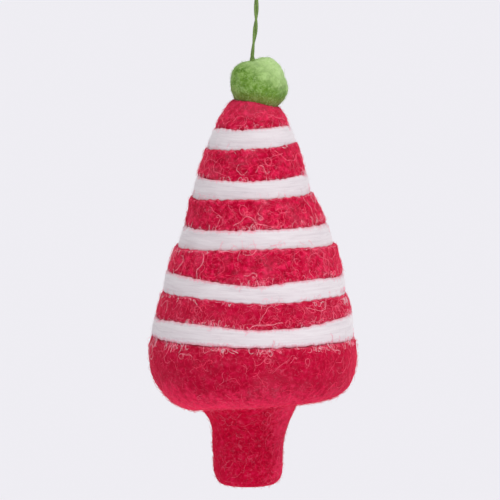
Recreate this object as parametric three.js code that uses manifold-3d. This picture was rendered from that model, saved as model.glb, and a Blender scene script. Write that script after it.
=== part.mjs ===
// Needle-felted tree ornament with a ball on its tip, hung on a loop of cord.
// Millimetres, +Z up. The origin is the point of the loop that bears on the hook.

import * as THREE from 'three';
import { mergeVertices } from 'three/addons/utils/BufferGeometryUtils.js';
import Module from 'manifold-3d';

const wasm = await Module();
wasm.setup();

// Driving dimensions

const CLEARANCE = 0.3;

// Cord
const CORD_DIAMETER = 0.9;
const NECK_DIAMETER = 1.7;
const LOOP_DROP = 48;
const EYE_WIDTH = 6;
const LEG_SPACING = 1;
const KNOT_DIAMETER = 4.4;

// Route of the twisted pair above the ball: sideways place and height above the ball
const NECK_ROUTE = [
  [0, 0.5],
  [0.35, 4],
  [0.9, 8],
  [1.25, 12],
  [1.35, 16],
  [1.4, 20],
  [1.4, 23],
];

// Ball
const BALL_DIAMETER = 20.4;
const BALL_OFFSET = 2.5;
const BALL_SEAT_DEPTH = 4.5;

// Trunk
const TRUNK_OFFSET = -1.4;
const TRUNK_LENGTH = 27;
const TRUNK_DIAMETER = 24.2;
const TRUNK_FOOT_DIAMETER = 13;
const TRUNK_FOOT_ROUND = 6.5;
const TRUNK_FLARE_DIAMETER = 32;
const TRUNK_FLARE_LENGTH = 8.5;
const TRUNK_SKIN = 5;
const PEG_DIAMETER = 14;
const PEG_DEPTH = 31;

// Tree body, from its underside up
const BASE_HEIGHT = 17.5;
const BASE_ROUNDNESS = 2.3;
const GIRTH_DIAMETER = 71.8;
const TIP_BAND = 8.4;
const TIP_DIAMETER = 17;
const BAND_CROWN = 0.7;

// Rings of roving, numbered from the girth up, each above a red band of its number
const BAND_1_HEIGHT = 6.9;
const RING_1_HEIGHT = 7.0;
const RING_1_BOTTOM_DIAMETER = 69.6;
const RING_1_TOP_DIAMETER = 67.6;
const BAND_2_HEIGHT = 8.4;
const RING_2_HEIGHT = 6.6;
const RING_2_BOTTOM_DIAMETER = 62.8;
const RING_2_TOP_DIAMETER = 60.6;
const BAND_3_HEIGHT = 10.3;
const RING_3_HEIGHT = 6.5;
const RING_3_BOTTOM_DIAMETER = 55.4;
const RING_3_TOP_DIAMETER = 49.6;
const BAND_4_HEIGHT = 10.2;
const RING_4_HEIGHT = 7.0;
const RING_4_BOTTOM_DIAMETER = 42.4;
const RING_4_TOP_DIAMETER = 37.6;
const BAND_5_HEIGHT = 10.1;
const RING_5_HEIGHT = 6.7;
const RING_5_BOTTOM_DIAMETER = 31.6;
const RING_5_TOP_DIAMETER = 24.5;
const RING_CROWN = 0.5;
const GROOVE_DEPTH = 2.2;

// Red felt around the wool core
const COVER_THICKNESS = 7;
const COVER_BOTTOM_THICKNESS = 5;
const COVER_TIP_THICKNESS = 7;
const CORE_EDGE = 3;

// Facets
const CORD_SIDES = 8;
const BIGHT_STEPS = 10;
const LEG_STEPS = 8;
const NECK_STEPS = 12;
const BODY_SEGMENTS = 32;
const CORE_SEGMENTS = 24;
const BALL_SEGMENTS = 24;
const BALL_RINGS = 14;
const BASE_STEPS = 9;
const CURVE_STEPS = 4;

// Heights on the tree, counted from the foot of its trunk

const girthHeight = TRUNK_LENGTH + BASE_HEIGHT;
const rings = [];
let ringTop = girthHeight;
for (const [band, height, bottomDiameter, topDiameter] of [
  [BAND_1_HEIGHT, RING_1_HEIGHT, RING_1_BOTTOM_DIAMETER, RING_1_TOP_DIAMETER],
  [BAND_2_HEIGHT, RING_2_HEIGHT, RING_2_BOTTOM_DIAMETER, RING_2_TOP_DIAMETER],
  [BAND_3_HEIGHT, RING_3_HEIGHT, RING_3_BOTTOM_DIAMETER, RING_3_TOP_DIAMETER],
  [BAND_4_HEIGHT, RING_4_HEIGHT, RING_4_BOTTOM_DIAMETER, RING_4_TOP_DIAMETER],
  [BAND_5_HEIGHT, RING_5_HEIGHT, RING_5_BOTTOM_DIAMETER, RING_5_TOP_DIAMETER],
]) {
  const ringBottom = ringTop + band;
  ringTop = ringBottom + height;
  rings.push({ bottom: [bottomDiameter / 2, ringBottom], top: [topDiameter / 2, ringTop] });
}
const tipHeight = ringTop + TIP_BAND;
const ballRadius = BALL_DIAMETER / 2;
const ballHeight = tipHeight - BALL_SEAT_DEPTH + ballRadius;
const exitHeight = ballHeight + Math.sqrt(ballRadius ** 2 - BALL_OFFSET ** 2);
const coreBottom = TRUNK_LENGTH + COVER_BOTTOM_THICKNESS;
const coreTop = tipHeight - BALL_SEAT_DEPTH - COVER_TIP_THICKNESS;
const pegTop = TRUNK_LENGTH + PEG_DEPTH;

// Heights on the cord, counted from the hook

const cordRadius = CORD_DIAMETER / 2;
const neckRadius = NECK_DIAMETER / 2;
const bightCentre = cordRadius - EYE_WIDTH / 2;
const legTop = bightCentre - cordRadius - CLEARANCE;
const [neckTopX, neckTopRise] = NECK_ROUTE[NECK_ROUTE.length - 1];
const neckTop = neckTopRise - LOOP_DROP;
const legBottom = neckTop + neckRadius + CLEARANCE;

// Materials

const redFelt = new THREE.MeshStandardMaterial({ color: 0xb8193a, roughness: 0.95, metalness: 0 });
const whiteRoving = new THREE.MeshStandardMaterial({ color: 0xe6dfe4, roughness: 0.9, metalness: 0 });
const greenFelt = new THREE.MeshStandardMaterial({ color: 0x8fba5c, roughness: 0.95, metalness: 0 });
const greenCord = new THREE.MeshStandardMaterial({ color: 0x6f8640, roughness: 0.8, metalness: 0 });
const undyedWool = new THREE.MeshStandardMaterial({ color: 0xd9cdb8, roughness: 0.95, metalness: 0 });

// Shapes

// A solid of revolution about Z from [radius, height] points that run up its outside.
function lathe(points, segments) {
  const profile = points.map(([radius, height]) => new THREE.Vector2(radius, height));
  const geometry = new THREE.LatheGeometry(profile, segments);
  geometry.rotateX(Math.PI / 2);
  return geometry;
}

// An upright cylinder between two heights.
function cylinder(radius, bottom, top, segments) {
  return lathe([[0, bottom], [radius, bottom], [radius, top], [0, top]], segments);
}

// A cord of round section along a curve.
function cord(curve, radius, steps) {
  const section = new THREE.Shape();
  section.absarc(0, 0, radius, 0, 2 * Math.PI);
  return new THREE.ExtrudeGeometry(section, {
    steps,
    extrudePath: curve,
    curveSegments: CORD_SIDES / 2,
    bevelEnabled: false,
  });
}

// The closed solid that a geometry's faces bound, ready to be joined or cut.
function solid(geometry) {
  const bare = geometry.clone();
  bare.deleteAttribute('normal');
  bare.deleteAttribute('uv');
  const merged = mergeVertices(bare);
  const corners = merged.index.array;
  const triangles = [];
  for (let i = 0; i < corners.length; i += 3) {
    const [a, b, c] = corners.slice(i, i + 3);
    if (a !== b && b !== c && c !== a) {
      triangles.push(a, b, c);
    }
  }
  return new wasm.Manifold(new wasm.Mesh({
    numProp: 3,
    vertProperties: merged.attributes.position.array,
    triVerts: new Uint32Array(triangles),
  }));
}

// The faces of a solid that was joined or cut.
function faces(shape) {
  const { vertProperties, triVerts } = shape.getMesh();
  const geometry = new THREE.BufferGeometry();
  geometry.setAttribute('position', new THREE.BufferAttribute(vertProperties, 3));
  geometry.setIndex(new THREE.BufferAttribute(triVerts, 1));
  geometry.computeVertexNormals();
  return geometry;
}

function piece(name, geometry, material) {
  const mesh = new THREE.Mesh(geometry, material);
  mesh.name = name;
  return mesh;
}

// A point part of the way between two [radius, height] points, moved out square to the line between them.
function between(from, to, share, outwards) {
  const [across, up] = [to[0] - from[0], to[1] - from[1]];
  const length = Math.hypot(across, up);
  return [
    from[0] + share * across + outwards * up / length,
    from[1] + share * up - outwards * across / length,
  ];
}

// Points that swell out, or in, from one edge to another, without the two ends.
function swell(from, to, crown) {
  const points = [];
  for (let i = 1; i < CURVE_STEPS; i += 1) {
    const share = i / CURVE_STEPS;
    points.push(between(from, to, share, crown * Math.sin(Math.PI * share)));
  }
  return points;
}

// Points that leave the girth upright and lean in to an edge, without the two ends.
function shoulder(girth, edge) {
  const points = [];
  for (let i = 1; i < CURVE_STEPS; i += 1) {
    const share = i / CURVE_STEPS;
    points.push([
      girth[0] + share ** 2 * (edge[0] - girth[0]),
      girth[1] + share * (edge[1] - girth[1]),
    ]);
  }
  return points;
}

// Body

// Outside of the tree from the middle of its underside up to the tip.
function bodyProfile() {
  const flat = TRUNK_FLARE_DIAMETER / 2;
  const girth = [GIRTH_DIAMETER / 2, girthHeight];
  const tip = [TIP_DIAMETER / 2, tipHeight];
  const points = [[0, TRUNK_LENGTH]];
  for (let i = 0; i <= BASE_STEPS; i += 1) {
    const angle = (Math.PI / 2) * (1 - i / BASE_STEPS);
    const reach = Math.cos(angle) ** (2 / BASE_ROUNDNESS);
    const drop = Math.sin(angle) ** (2 / BASE_ROUNDNESS);
    points.push([flat + reach * (girth[0] - flat), girthHeight - drop * BASE_HEIGHT]);
  }
  points.push(...shoulder(girth, rings[0].bottom));
  rings.forEach(({ bottom, top }, i) => {
    const next = i + 1 < rings.length ? rings[i + 1].bottom : tip;
    points.push(bottom, ...swell(bottom, top, -GROOVE_DEPTH), top);
    points.push(...swell(top, next, BAND_CROWN));
  });
  points.push(tip, [0, tipHeight]);
  return points;
}

// Outside of the wool core, or of the hollow around it. It follows the tree under the red felt.
function coreProfile(gap) {
  const inset = gap - COVER_THICKNESS;
  const girth = GIRTH_DIAMETER / 2 + inset;
  const sides = rings.slice(0, -1).map(({ bottom, top }) => {
    const [radius, height] = between(bottom, top, 0.5, 0);
    return [radius + inset, height];
  });
  const [topRadius] = between(rings.at(-1).bottom, rings.at(-1).top, 0.5, 0);
  return [
    [0, coreBottom - gap],
    [girth - CORE_EDGE, coreBottom - gap],
    [girth, girthHeight],
    ...sides,
    [topRadius + inset, coreTop + gap],
    [0, coreTop + gap],
  ];
}

function ballShape(gap) {
  const sphere = new THREE.SphereGeometry(ballRadius + gap, BALL_SEGMENTS, BALL_RINGS);
  sphere.rotateX(Math.PI / 2);
  sphere.translate(BALL_OFFSET, 0, ballHeight);
  return solid(sphere);
}

// Way of the cord through the tip and the ball
const cordChannel = solid(
  cylinder(neckRadius + CLEARANCE, coreTop, ballHeight + BALL_DIAMETER, CORD_SIDES * 2),
);

// Socket of the trunk's peg, through the underside and into the core
const socket = solid(cylinder(PEG_DIAMETER / 2 + CLEARANCE, 0, pegTop + CLEARANCE, CORE_SEGMENTS))
  .translate([TRUNK_OFFSET, 0, 0]);

function bodyCover() {
  const cover = solid(lathe(bodyProfile(), BODY_SEGMENTS))
    .subtract(solid(lathe(coreProfile(CLEARANCE), CORE_SEGMENTS)))
    .subtract(ballShape(CLEARANCE))
    .subtract(cordChannel)
    .subtract(socket);
  return faces(cover);
}

// Knot at the end of the cord, in a pocket at the top of the core
const knotRadius = KNOT_DIAMETER / 2;
const knotHeight = coreTop - knotRadius;

function bodyCore() {
  const pocketBottom = coreTop - KNOT_DIAMETER - CLEARANCE;
  const pocket = cylinder(knotRadius + CLEARANCE, pocketBottom, coreTop + CLEARANCE, CORD_SIDES * 2);
  const core = solid(lathe(coreProfile(0), CORE_SEGMENTS)).subtract(solid(pocket)).subtract(socket);
  return faces(core);
}

// A ring of roving that fills its groove, with a lens-shaped section.
function stripe({ bottom, top }) {
  const end = Math.asin(CLEARANCE / (RING_CROWN + GROOVE_DEPTH)) / Math.PI;
  const outside = [];
  const inside = [];
  for (let i = 0; i <= CURVE_STEPS; i += 1) {
    const share = end + (1 - 2 * end) * (i / CURVE_STEPS);
    const depth = Math.sin(Math.PI * share);
    outside.push(between(bottom, top, share, RING_CROWN * depth));
    inside.push(between(bottom, top, share, CLEARANCE - GROOVE_DEPTH * depth));
  }
  const back = inside.slice(1, CURVE_STEPS).reverse();
  return lathe([...outside, ...back, outside[0]], BODY_SEGMENTS);
}

function feltBall() {
  return faces(ballShape(0).subtract(cordChannel));
}

// Trunk

function trunkCover() {
  const radius = TRUNK_DIAMETER / 2;
  const top = TRUNK_LENGTH - CLEARANCE;
  const flareBottom = top - TRUNK_FLARE_LENGTH;
  const toe = new THREE.QuadraticBezierCurve(
    new THREE.Vector2(TRUNK_FOOT_DIAMETER / 2, 0),
    new THREE.Vector2(radius, 0),
    new THREE.Vector2(radius, TRUNK_FOOT_ROUND),
  );
  const flare = new THREE.QuadraticBezierCurve(
    new THREE.Vector2(radius, flareBottom),
    new THREE.Vector2(radius, flareBottom + TRUNK_FLARE_LENGTH / 2),
    new THREE.Vector2(TRUNK_FLARE_DIAMETER / 2, top),
  );
  const outside = [...toe.getPoints(CURVE_STEPS), ...flare.getPoints(CURVE_STEPS)];
  const bore = PEG_DIAMETER / 2 + CLEARANCE;
  const bottom = TRUNK_SKIN - CLEARANCE;
  return lathe(
    [[0, 0], ...outside.map(({ x, y }) => [x, y]), [bore, top], [bore, bottom], [0, bottom]],
    BODY_SEGMENTS,
  );
}

function trunkCore() {
  return cylinder(PEG_DIAMETER / 2, TRUNK_SKIN, pegTop, CORE_SEGMENTS);
}

// Cord

// The bend over the hook, from one side of the eye to the other.
function loopBight() {
  const points = [];
  for (let i = 0; i <= BIGHT_STEPS; i += 1) {
    const angle = Math.PI * (i / BIGHT_STEPS);
    points.push(new THREE.Vector3(
      0,
      (EYE_WIDTH / 2) * Math.cos(angle),
      bightCentre + (EYE_WIDTH / 2) * Math.sin(angle),
    ));
  }
  return cord(new THREE.CatmullRomCurve3(points), cordRadius, BIGHT_STEPS);
}

// One side of the eye, on the side of +Y or -Y.
function loopLeg(side) {
  const line = new THREE.LineCurve3(
    new THREE.Vector3(neckTopX, side * LEG_SPACING / 2, legBottom),
    new THREE.Vector3(0, side * EYE_WIDTH / 2, legTop),
  );
  return cord(line, cordRadius, LEG_STEPS);
}

// The twisted pair above the ball, with a round top end for the eye to bend on.
function cordNeck() {
  const points = NECK_ROUTE.map(([sideways, rise]) => new THREE.Vector3(sideways, 0, rise - LOOP_DROP));
  const pair = cord(new THREE.CatmullRomCurve3(points), neckRadius, NECK_STEPS);
  const end = new THREE.SphereGeometry(neckRadius, CORD_SIDES * 2, CORD_SIDES);
  end.translate(neckTopX, 0, neckTop);
  return faces(solid(pair).add(solid(end)));
}

// The pair inside the ball and the tip, down to the knot.
function cordTail() {
  return cylinder(neckRadius, coreTop + CLEARANCE, exitHeight - CLEARANCE, CORD_SIDES);
}

function anchorKnot() {
  const knot = new THREE.SphereGeometry(knotRadius, CORD_SIDES * 2, CORD_SIDES);
  knot.translate(0, 0, knotHeight);
  return knot;
}

// Assembly

const hangingLoop = new THREE.Group();
hangingLoop.add(piece('loop_bight', loopBight(), greenCord));
hangingLoop.add(piece('loop_leg_front', loopLeg(-1), greenCord));
hangingLoop.add(piece('loop_leg_back', loopLeg(1), greenCord));
hangingLoop.add(piece('cord_neck', cordNeck(), greenCord));

const trunk = new THREE.Group();
trunk.position.x = TRUNK_OFFSET;
trunk.add(piece('trunk_cover', trunkCover(), redFelt));
trunk.add(piece('trunk_core', trunkCore(), undyedWool));

const tree = new THREE.Group();
tree.position.z = -LOOP_DROP - exitHeight;
tree.add(piece('cord_tail', cordTail(), greenCord));
tree.add(piece('anchor_knot', anchorKnot(), greenCord));
tree.add(piece('felt_ball', feltBall(), greenFelt));
tree.add(piece('body_cover', bodyCover(), redFelt));
tree.add(piece('body_core', bodyCore(), undyedWool));
rings.forEach((ring, i) => tree.add(piece(`stripe_${i + 1}`, stripe(ring), whiteRoving)));
tree.add(trunk);

const ornament = new THREE.Group();
ornament.add(hangingLoop);
ornament.add(tree);

export default ornament;
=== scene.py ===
"""Looks of a needle-felted tree ornament that hangs on a loop of cord.

Lengths here are millimetres, +Z up, with the hook at the origin. made() turns them into the frame's metres.
A direction round the tree is an angle from the front, -Y, towards +X.
"""

import math
from typing import NamedTuple

import bpy
import numpy as np
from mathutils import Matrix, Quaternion, Vector, noise
from mathutils.bvhtree import BVHTree


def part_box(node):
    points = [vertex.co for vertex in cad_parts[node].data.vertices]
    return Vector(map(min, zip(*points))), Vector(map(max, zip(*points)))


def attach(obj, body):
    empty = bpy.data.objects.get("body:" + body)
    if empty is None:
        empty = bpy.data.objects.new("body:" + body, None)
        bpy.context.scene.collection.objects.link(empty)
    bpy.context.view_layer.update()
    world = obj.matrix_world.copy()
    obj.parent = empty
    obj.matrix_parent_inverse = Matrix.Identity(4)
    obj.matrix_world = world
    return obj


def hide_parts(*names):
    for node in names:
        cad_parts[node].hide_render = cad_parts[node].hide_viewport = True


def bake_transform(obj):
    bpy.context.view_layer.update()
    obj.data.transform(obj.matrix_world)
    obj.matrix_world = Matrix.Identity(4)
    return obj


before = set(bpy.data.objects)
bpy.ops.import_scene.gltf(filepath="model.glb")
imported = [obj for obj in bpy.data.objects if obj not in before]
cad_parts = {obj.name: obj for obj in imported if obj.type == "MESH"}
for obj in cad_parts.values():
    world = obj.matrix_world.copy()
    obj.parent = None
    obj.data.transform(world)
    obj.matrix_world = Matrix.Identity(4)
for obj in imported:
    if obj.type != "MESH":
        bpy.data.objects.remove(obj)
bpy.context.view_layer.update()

MM = 0.001
TINY = 1e-9
FULL_TURN = 2 * math.pi


# Camera

VIEW_CENTRE = (-0.8, 0, -114.7)
VIEW_DISTANCE = 1200
VIEW_ELEVATION = math.radians(6.5)
VIEW_WIDTH = 172.5
VIEW_REACH = 100000
SENSOR_WIDTH = 36


def linked(name, data):
    """A new object in the scene."""
    new = bpy.data.objects.new(name, data)
    bpy.context.scene.collection.objects.link(new)
    return new


def add_camera():
    camera = linked("camera", bpy.data.cameras.new("camera"))
    back = Vector((0, -math.cos(VIEW_ELEVATION), math.sin(VIEW_ELEVATION)))
    camera.location = (Vector(VIEW_CENTRE) + VIEW_DISTANCE * back) * MM
    camera.rotation_euler = back.to_track_quat("Z", "Y").to_euler()
    camera.data.sensor_width = SENSOR_WIDTH
    camera.data.lens = SENSOR_WIDTH * VIEW_DISTANCE / VIEW_WIDTH
    camera.data.clip_end = VIEW_REACH * MM
    bpy.context.scene.camera = camera


# Meshes

# How far apart in the noise two seeds lie
SEED_DISTANCE = 31.7


def made(name, points, faces, material):
    """A smooth mesh object from points in millimetres."""
    mesh = bpy.data.meshes.new(name)
    mesh.from_pydata((np.asarray(points).reshape(-1, 3) * MM).tolist(), [], faces)
    mesh.polygons.foreach_set("use_smooth", np.ones(len(mesh.polygons), bool))
    mesh.materials.append(material)
    return linked(name, mesh)


def wall_quads(at):
    """Faces between the rows of a grid of point numbers whose columns go round."""
    beside = np.roll(at, -1, axis=1)
    return np.stack([at[:-1], beside[:-1], beside[1:], at[1:]], axis=-1).reshape(-1, 4)


def grid_faces(rows, columns, closed=False):
    """Faces of a grid whose rows run up the outside and whose columns go round.

    Its first and last rows are capped, or meet where it is closed.
    """
    at = np.arange(rows * columns).reshape(rows, columns)
    if closed:
        return wall_quads(np.concatenate([at, at[:1]])).tolist()
    return wall_quads(at).tolist() + [at[0, ::-1].tolist(), at[-1].tolist()]


def seen_faces(shows, columns):
    """Which faces of a capped grid lie between rows that show."""
    return np.concatenate([np.repeat(shows[:-1] & shows[1:], columns), [False, False]])


def unit(vectors):
    """Vectors of length 1."""
    return vectors / np.maximum(np.linalg.norm(vectors, axis=-1, keepdims=True), TINY)


def grid_normals(points, closed=False):
    """Outward directions at the points of a grid."""
    round_it = np.roll(points, -1, axis=1) - np.roll(points, 1, axis=1)
    if closed:
        up_it = np.roll(points, -1, axis=0) - np.roll(points, 1, axis=0)
    else:
        up_it = np.gradient(points, axis=0)
    return unit(np.cross(round_it, up_it))


def lumps(points, size, seed):
    """Smooth noise from about -1 to 1 at each point, with lumps of about that size."""
    places = points.reshape(-1, 3) / size + SEED_DISTANCE * seed
    values = np.array([noise.noise(p) for p in places.tolist()])
    return values.reshape(points.shape[:-1])


def felted(points, amounts, seed):
    """Points of a capped grid, moved in and out by lumps: (size, amount) pairs."""
    move = sum(amount * lumps(points, size, seed + k) for k, (size, amount) in enumerate(amounts))
    return points + move[..., None] * grid_normals(points)


def around(angle, radius, height):
    """Points at an angle, radius and height about the Z axis."""
    return np.stack(np.broadcast_arrays(radius * np.sin(angle), -radius * np.cos(angle), height), axis=-1)


def per_row(low, high, rows):
    """Numbers from low to high, one for each row of a grid."""
    return np.linspace(low, high, rows)[:, None]


def smooth_step(value, low, high):
    """Rises smoothly from 0 to 1 between two values."""
    share = np.clip((value - low) / (high - low), 0, 1)
    return share * share * (3 - 2 * share)


def wave(angle, seed, height, counts):
    """A random wavy line round the tree, with the fewest to the most waves and about that height."""
    fewest, most = counts
    rng = np.random.default_rng(seed)
    total = np.zeros_like(angle)
    for waves in range(fewest, most + 1):
        total += rng.normal(0, 1) * np.sin(waves * angle + rng.uniform(0, FULL_TURN))
    return height * total / math.sqrt(most - fewest + 1)


# Shader nodes


def connect(tree, target, sockets):
    """Sets or links each named or numbered socket of a node."""
    for name, value in sockets.items():
        if isinstance(value, bpy.types.NodeSocket):
            tree.links.new(value, target.inputs[name])
        else:
            target.inputs[name].default_value = value


def node(tree, kind, sockets=None, **settings):
    """A new shader node with its settings and sockets."""
    new = tree.nodes.new(kind)
    for name, value in settings.items():
        setattr(new, name, value)
    connect(tree, new, sockets or {})
    return new


def linear(level):
    """A level of the picture, from 0 to 255, as linear light by the sRGB curve."""
    share = level / 255
    return ((share + 0.055) / 1.055) ** 2.4 if level > 10 else share / 12.92


def colour(red, green, blue):
    """A colour of the picture as the renderer's linear one."""
    return linear(red), linear(green), linear(blue), 1


def new_material(name):
    material = bpy.data.materials.new(name)
    material.use_nodes = True
    tree = material.node_tree
    return material, tree, tree.nodes["Principled BSDF"]


def coordinates(tree, scale=(1, 1, 1), offset=(0, 0, 0)):
    """Places on the piece in millimetres, stretched."""
    own = node(tree, "ShaderNodeTexCoord").outputs["Object"]
    sockets = {"Vector": own, "Scale": [x / MM for x in scale], "Location": offset}
    return node(tree, "ShaderNodeMapping", sockets).outputs["Vector"]


def noise_node(tree, places, scale, detail=2.0, roughness=0.5, distortion=0.0):
    """Noise from 0 to 1, with that many lumps in a millimetre."""
    sockets = {"Vector": places, "Scale": scale, "Detail": detail}
    sockets.update({"Roughness": roughness, "Distortion": distortion})
    return node(tree, "ShaderNodeTexNoise", sockets).outputs["Fac"]


def math_node(tree, operation, first, second=0.0):
    return node(tree, "ShaderNodeMath", {0: first, 1: second}, operation=operation).outputs["Value"]


def range_node(tree, value, low, high, start=0.0, end=1.0):
    """Passes from the start to the end as a value passes from low to high."""
    sockets = {"Value": value, "From Min": low, "From Max": high, "To Min": start, "To Max": end}
    return node(tree, "ShaderNodeMapRange", sockets).outputs["Result"]


def ramp_node(tree, value, stops):
    """A colour ramp with (place, colour) stops."""
    new = node(tree, "ShaderNodeValToRGB", {"Fac": value})
    while len(new.color_ramp.elements) < len(stops):
        new.color_ramp.elements.new(0.5)
    for element, (place, shade) in zip(new.color_ramp.elements, stops):
        element.position = place
        element.color = shade
    return new.outputs["Color"]


# Sockets of the mix node that are colours
MIX_FIRST, MIX_SECOND, MIX_RESULT = 6, 7, 2


def mix_node(tree, share, first, second):
    """A share of the second colour over the first."""
    sockets = {0: share, MIX_FIRST: first, MIX_SECOND: second}
    return node(tree, "ShaderNodeMix", sockets, data_type="RGBA").outputs[MIX_RESULT]


def blended(tree, first, second, share):
    """Two numbers added up, with that share of the second."""
    of_first = math_node(tree, "MULTIPLY", first, 1 - share)
    return math_node(tree, "ADD", of_first, math_node(tree, "MULTIPLY", second, share))


def relief(tree, height, depth, strength=1.0):
    """Directions of a surface that is roughened by a height."""
    sockets = {"Height": height, "Strength": strength, "Distance": depth * MM}
    return node(tree, "ShaderNodeBump", sockets).outputs["Normal"]


def fine_lines(tree, places, scale, width):
    """Thin curly lines, where noise passes its middle value, broken up by other noise."""
    field = noise_node(tree, places, scale, detail=1.0, distortion=0.6)
    off_line = math_node(tree, "ABSOLUTE", math_node(tree, "SUBTRACT", field, 0.5))
    line = range_node(tree, off_line, low=0.0, high=width, start=1.0, end=0.0)
    gaps = noise_node(tree, places, scale * 0.7, detail=1.0)
    return math_node(tree, "MULTIPLY", line, range_node(tree, gaps, low=0.45, high=0.6))


def near_rings(tree):
    """Is 1 at the edges of the white rings and 0 away from them."""
    return node(tree, "ShaderNodeAttribute", attribute_name="near_ring").outputs["Fac"]


# Materials

UP = (0, 0, 1)
DOWN = (0, 0, -1)
RIGHT = (1, 0, 0)


class Fade(NamedTuple):
    """How wool passes into a tint along a way, between two distances, up to a share and unevenly. Some
    tints are painted light or shade.
    """

    tint: tuple
    way: tuple
    start: float
    end: float
    share: float
    uneven: float = 0.0


def fade_share(tree, places, fade, grain):
    far = node(tree, "ShaderNodeVectorMath", {0: places, 1: fade.way}, operation="DOT_PRODUCT")
    patchy = math_node(tree, "ADD", far.outputs["Value"], math_node(tree, "MULTIPLY", grain, fade.uneven))
    return range_node(tree, patchy, fade.start, fade.end, end=fade.share)


def felt_veil(tree, share):
    """Large soft patches, up to that share."""
    places = coordinates(tree, offset=(40, 17, 23))
    patches = noise_node(tree, places, scale=0.085, detail=3.0, roughness=0.62, distortion=0.8)
    return range_node(tree, patches, low=0.49, high=0.7, end=share)


def felt_hairs(tree, places):
    """Long and short curly hairs that are matted into felt."""
    long_hairs = fine_lines(tree, places, scale=0.3, width=0.016)
    short_hairs = fine_lines(tree, coordinates(tree, offset=(7, 3, 5)), scale=0.75, width=0.035)
    return math_node(tree, "MAXIMUM", long_hairs, short_hairs)


# How many more hairs felt shows near a ring, and how high they stand in its relief
HAIRS_NEAR_RINGS = 0.22
HAIR_RELIEF = 0.06


def felt_material(name, deep, plain, pale, hair, hair_share, sheen, sheen_tint, veil=0.0, fades=()):
    """Matted wool: dark hollows, plain tufts and pale wisps in an uneven grain, and curly hairs.

    veil is how much of the hairs' colour lies over it in large patches.
    """
    material, tree, shader = new_material(name)
    places = coordinates(tree)
    tufts = noise_node(tree, places, scale=0.62, detail=2.2, roughness=0.62, distortion=0.5)
    patches = noise_node(tree, places, scale=0.25, detail=3.0, roughness=0.6)
    grain = blended(tree, tufts, patches, share=0.34)
    wool = ramp_node(tree, grain, [(0.35, deep), (0.5, plain), (0.65, pale)])
    if veil:
        wool = mix_node(tree, felt_veil(tree, veil), wool, hair)
    for fade in fades:
        wool = mix_node(tree, fade_share(tree, places, fade, grain), wool, fade.tint)
    fringe = range_node(tree, math_node(tree, "ADD", near_rings(tree), tufts), low=1.2, high=1.6, end=0.5)
    wool = mix_node(tree, fringe, wool, hair)
    hairs = felt_hairs(tree, places)
    more_hairs = math_node(tree, "MULTIPLY", near_rings(tree), HAIRS_NEAR_RINGS)
    hairiness = math_node(tree, "ADD", hair_share, more_hairs)
    height = math_node(tree, "ADD", grain, math_node(tree, "MULTIPLY", hairs, HAIR_RELIEF))
    connect(tree, shader, {
        "Base Color": mix_node(tree, math_node(tree, "MULTIPLY", hairs, hairiness), wool, hair),
        "Normal": relief(tree, height, depth=0.4),
        "Roughness": 0.95,
        "Specular IOR Level": 0.05,
        "Sheen Weight": sheen,
        "Sheen Roughness": 0.5,
        "Sheen Tint": sheen_tint,
    })
    return material


# Scales that draw the roving's streaks and bundles out along the ring
STREAK_STRETCH = (0.06, 0.06, 1)
BUNDLE_STRETCH = (0.14, 0.14, 1)


def roving_material():
    """Combed white wool with fine streaks along the ring, and red wool caught in its edges."""
    material, tree, shader = new_material("white_roving")
    streaked = coordinates(tree, scale=STREAK_STRETCH)
    streaks = noise_node(tree, streaked, scale=1.5, detail=4.0, roughness=0.65, distortion=0.7)
    bundles = noise_node(tree, coordinates(tree, scale=BUNDLE_STRETCH), scale=0.45, distortion=0.5)
    grain = blended(tree, streaks, bundles, share=0.35)
    shades = [(0.34, colour(209, 199, 204)), (0.48, colour(223, 214, 218)), (0.62, colour(230, 223, 226))]
    wisps = noise_node(tree, coordinates(tree), scale=1.2, detail=3.0, roughness=0.65)
    caught = range_node(tree, math_node(tree, "ADD", near_rings(tree), wisps), low=0.9, high=1.5, end=0.8)
    connect(tree, shader, {
        "Base Color": mix_node(tree, caught, ramp_node(tree, grain, shades), colour(222, 120, 146)),
        "Normal": relief(tree, grain, depth=0.3, strength=0.35),
        "Roughness": 0.9,
        "Specular IOR Level": 0.2,
        "Sheen Weight": 0.5,
        "Sheen Roughness": 0.5,
    })
    return material


def cord_material():
    """Spun cotton with fine streaks along its lay."""
    material, tree, shader = new_material("green_cord")
    fibres = noise_node(tree, coordinates(tree, scale=(1, 1, 0.35)), scale=4.0, detail=3.0)
    shades = [(0.3, colour(84, 112, 46)), (0.55, colour(116, 146, 68)), (0.75, colour(150, 178, 102))]
    connect(tree, shader, {
        "Base Color": ramp_node(tree, fibres, shades),
        "Normal": relief(tree, fibres, depth=0.1, strength=0.5),
        "Roughness": 0.8,
        "Sheen Weight": 0.15,
    })
    return material


def fibre_material(name, shade):
    """One loose fibre's colour. Fibres of several colours mix on a piece."""
    material, tree, shader = new_material(name)
    connect(tree, shader, {"Base Color": shade, "Roughness": 0.7, "Specular IOR Level": 0.2})
    return material


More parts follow.
